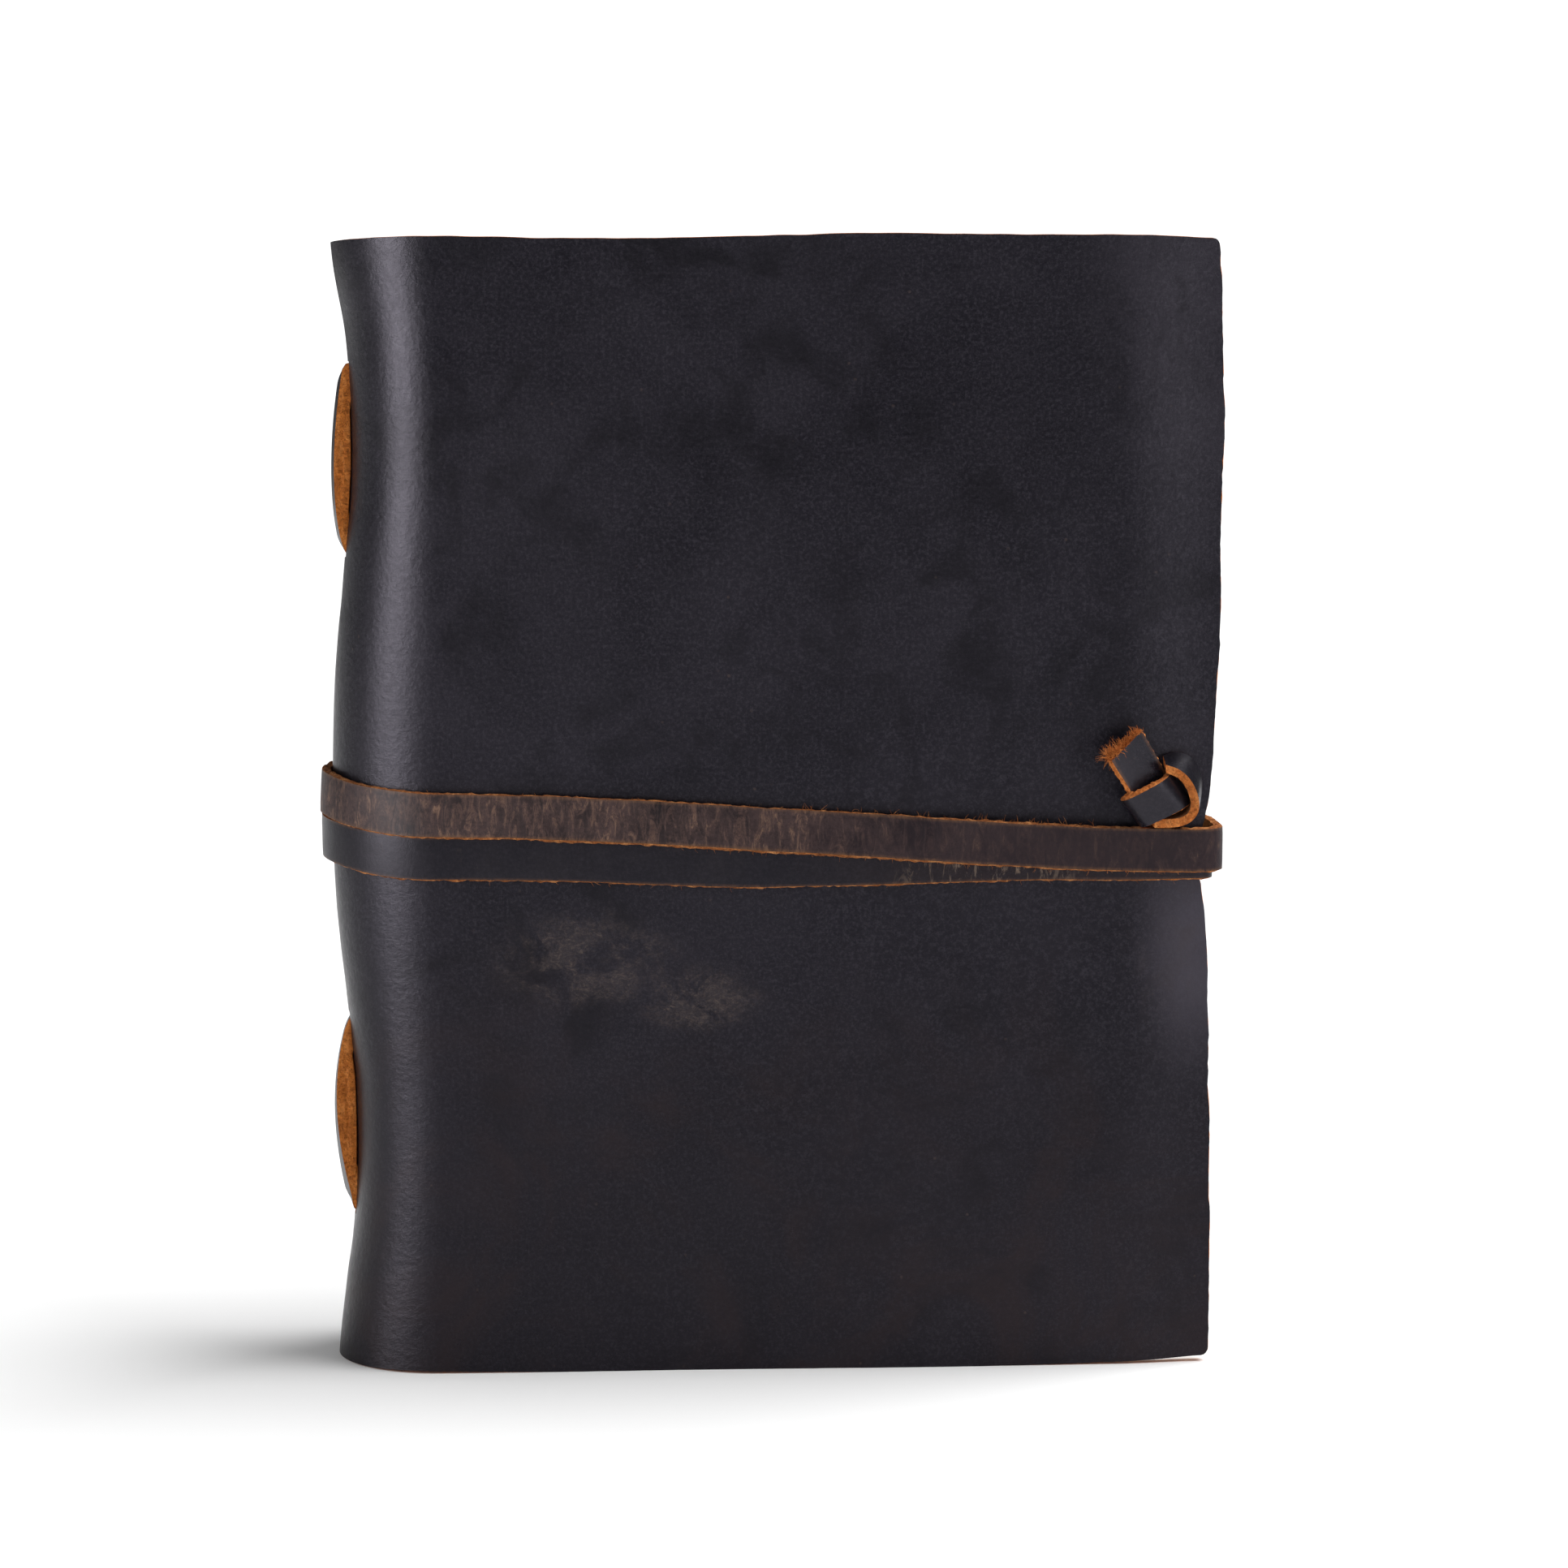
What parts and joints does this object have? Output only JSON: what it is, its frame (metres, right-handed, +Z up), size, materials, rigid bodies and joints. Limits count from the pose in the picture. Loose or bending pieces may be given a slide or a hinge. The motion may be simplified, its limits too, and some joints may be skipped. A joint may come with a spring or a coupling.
{
  "type": "leather notebook cover",
  "caption": "Soft leather journal cover round sewn paper gatherings, with spine laces and a long strap that wraps it shut.",
  "frame": {"origin": "middle of the object's footprint, on the surface that it stands on", "axes": "+X from the spine to the fore-edge, -Y out of the front cover, +Z up"},
  "size_m": [0.1614, 0.048, 0.203],
  "materials": {
    "cover_leather": "waxed pull-up hide, satin with worn brown scuffs",
    "strap_leather": "waxed hide, satin, raw tan edges",
    "lace_leather": "suede, raw cut edges",
    "paper": "uncoated, cream, deckled edges",
    "linen": "waxed linen thread"
  },
  "bodies": {
    "book_spine": {"spine": "cover_leather", "spine_lace_upper": "lace_leather", "spine_lace_lower": "lace_leather", "sewing_thread_head": "linen", "sewing_thread_upper": "linen", "sewing_thread_lower": "linen", "sewing_thread_tail": "linen", "signature_1_fold": "paper", "signature_2_fold": "paper", "signature_3_fold": "paper", "signature_4_fold": "paper", "signature_5_fold": "paper", "signature_6_fold": "paper", "signature_7_fold": "paper", "signature_8_fold": "paper", "strap_spine_lower_pass": "strap_leather", "strap_spine_upper_pass": "strap_leather"},
    "front_board": {"front_cover": "cover_leather", "strap_knot": "strap_leather", "strap_anchor_run": "strap_leather", "strap_front_lower_pass": "strap_leather", "strap_front_upper_pass": "strap_leather"},
    "back_board": {"back_cover": "cover_leather", "strap_back_first_run": "strap_leather", "strap_back_second_run": "strap_leather", "strap_tail_bend": "strap_leather"},
    "loose_tail": {"strap_tail": "strap_leather"},
    "leaves_1": {"signature_1_leaves": "paper"},
    "leaves_2": {"signature_2_leaves": "paper"},
    "leaves_3": {"signature_3_leaves": "paper"},
    "leaves_4": {"signature_4_leaves": "paper"},
    "leaves_5": {"signature_5_leaves": "paper"},
    "leaves_6": {"signature_6_leaves": "paper"},
    "leaves_7": {"signature_7_leaves": "paper"},
    "leaves_8": {"signature_8_leaves": "paper"}
  },
  "joints": [
    {"name": "front_cover_hinge", "type": "hinge", "parent": "book_spine", "child": "front_board", "pos_m": [-0.07495, -0.01, 0.1015], "axis": [0, 0, -1], "range_deg": [0, 120]},
    {"name": "back_cover_hinge", "type": "hinge", "parent": "book_spine", "child": "back_board", "pos_m": [-0.07495, 0.014, 0.1015], "axis": [0, 0, 1], "range_deg": [0, 120]},
    {"name": "strap_tail_hinge", "type": "hinge", "parent": "back_board", "child": "loose_tail", "pos_m": [0.0755, 0.02415, 0.0944], "axis": [0, 0, -1], "range_deg": [0, 150]},
    {"name": "leaves_1_turn", "type": "hinge", "parent": "book_spine", "child": "leaves_1", "pos_m": [-0.07495, -0.01, 0.1015], "axis": [0, 0, -1], "range_deg": [0, 110.8]},
    {"name": "leaves_2_turn", "type": "hinge", "parent": "book_spine", "child": "leaves_2", "pos_m": [-0.07495, -0.01, 0.1015], "axis": [0, 0, -1], "range_deg": [0, 89.2]},
    {"name": "leaves_3_turn", "type": "hinge", "parent": "book_spine", "child": "leaves_3", "pos_m": [-0.07495, -0.01, 0.1015], "axis": [0, 0, -1], "range_deg": [0, 62.8]},
    {"name": "leaves_4_turn", "type": "hinge", "parent": "book_spine", "child": "leaves_4", "pos_m": [-0.07495, -0.01, 0.1015], "axis": [0, 0, -1], "range_deg": [0, 34]},
    {"name": "leaves_5_turn", "type": "hinge", "parent": "book_spine", "child": "leaves_5", "pos_m": [-0.07495, 0.014, 0.1015], "axis": [0, 0, 1], "range_deg": [0, 34]},
    {"name": "leaves_6_turn", "type": "hinge", "parent": "book_spine", "child": "leaves_6", "pos_m": [-0.07495, 0.014, 0.1015], "axis": [0, 0, 1], "range_deg": [0, 62.8]},
    {"name": "leaves_7_turn", "type": "hinge", "parent": "book_spine", "child": "leaves_7", "pos_m": [-0.07495, 0.014, 0.1015], "axis": [0, 0, 1], "range_deg": [0, 89.2]},
    {"name": "leaves_8_turn", "type": "hinge", "parent": "book_spine", "child": "leaves_8", "pos_m": [-0.07495, 0.014, 0.1015], "axis": [0, 0, 1], "range_deg": [0, 110.8]}
  ],
  "couplings": [
    {"joint": "leaves_1_turn", "follows": "front_cover_hinge", "ratio": 0.92},
    {"joint": "leaves_2_turn", "follows": "front_cover_hinge", "ratio": 0.74},
    {"joint": "leaves_3_turn", "follows": "front_cover_hinge", "ratio": 0.52},
    {"joint": "leaves_4_turn", "follows": "front_cover_hinge", "ratio": 0.28},
    {"joint": "leaves_5_turn", "follows": "back_cover_hinge", "ratio": 0.28},
    {"joint": "leaves_6_turn", "follows": "back_cover_hinge", "ratio": 0.52},
    {"joint": "leaves_7_turn", "follows": "back_cover_hinge", "ratio": 0.74},
    {"joint": "leaves_8_turn", "follows": "back_cover_hinge", "ratio": 0.92}
  ]
}
